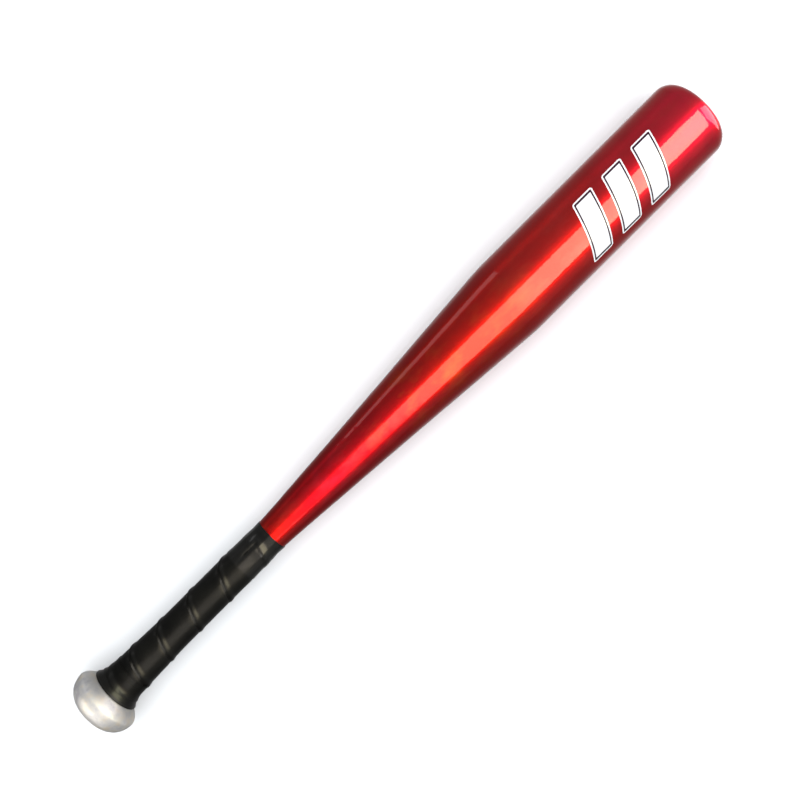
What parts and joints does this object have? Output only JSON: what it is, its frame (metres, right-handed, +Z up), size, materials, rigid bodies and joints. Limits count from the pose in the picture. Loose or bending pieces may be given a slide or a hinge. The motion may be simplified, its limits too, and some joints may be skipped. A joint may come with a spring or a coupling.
{
  "type": "baseball bat",
  "caption": "Short aluminium baseball bat: one-piece tube closed at the barrel, cast knob, spiral grip wrap, finishing tapes and slanted film marks.",
  "frame": {"origin": "on the ground under the bat's axis, half way along its length; the bat lies on its side", "axes": "+X along the bat's axis from the knob to the barrel's end, +Z up, the marks on the upper side and towards -Y"},
  "size_m": [0.508, 0.051, 0.0513],
  "materials": {
    "anodised_tube": "deep red anodised over fine brushing, glossy clear coat",
    "bare_aluminium": "bare cast aluminium, tumbled and lightly polished",
    "grip_leatherette": "black leatherette, satin",
    "vinyl_tape": "black vinyl tape, glossy",
    "plug_rubber": "black moulded rubber, matt",
    "mark_film": "white film with a dark inner line, glossy"
  },
  "bodies": {
    "root": {"bat_tube": "anodised_tube", "barrel_end_plug": "plug_rubber", "knob": "bare_aluminium", "grip_wrap": "grip_leatherette", "upper_finishing_tape": "vinyl_tape", "lower_finishing_tape": "vinyl_tape", "barrel_mark_1": "mark_film", "barrel_mark_2": "mark_film", "barrel_mark_3": "mark_film"}
  },
  "joints": []
}
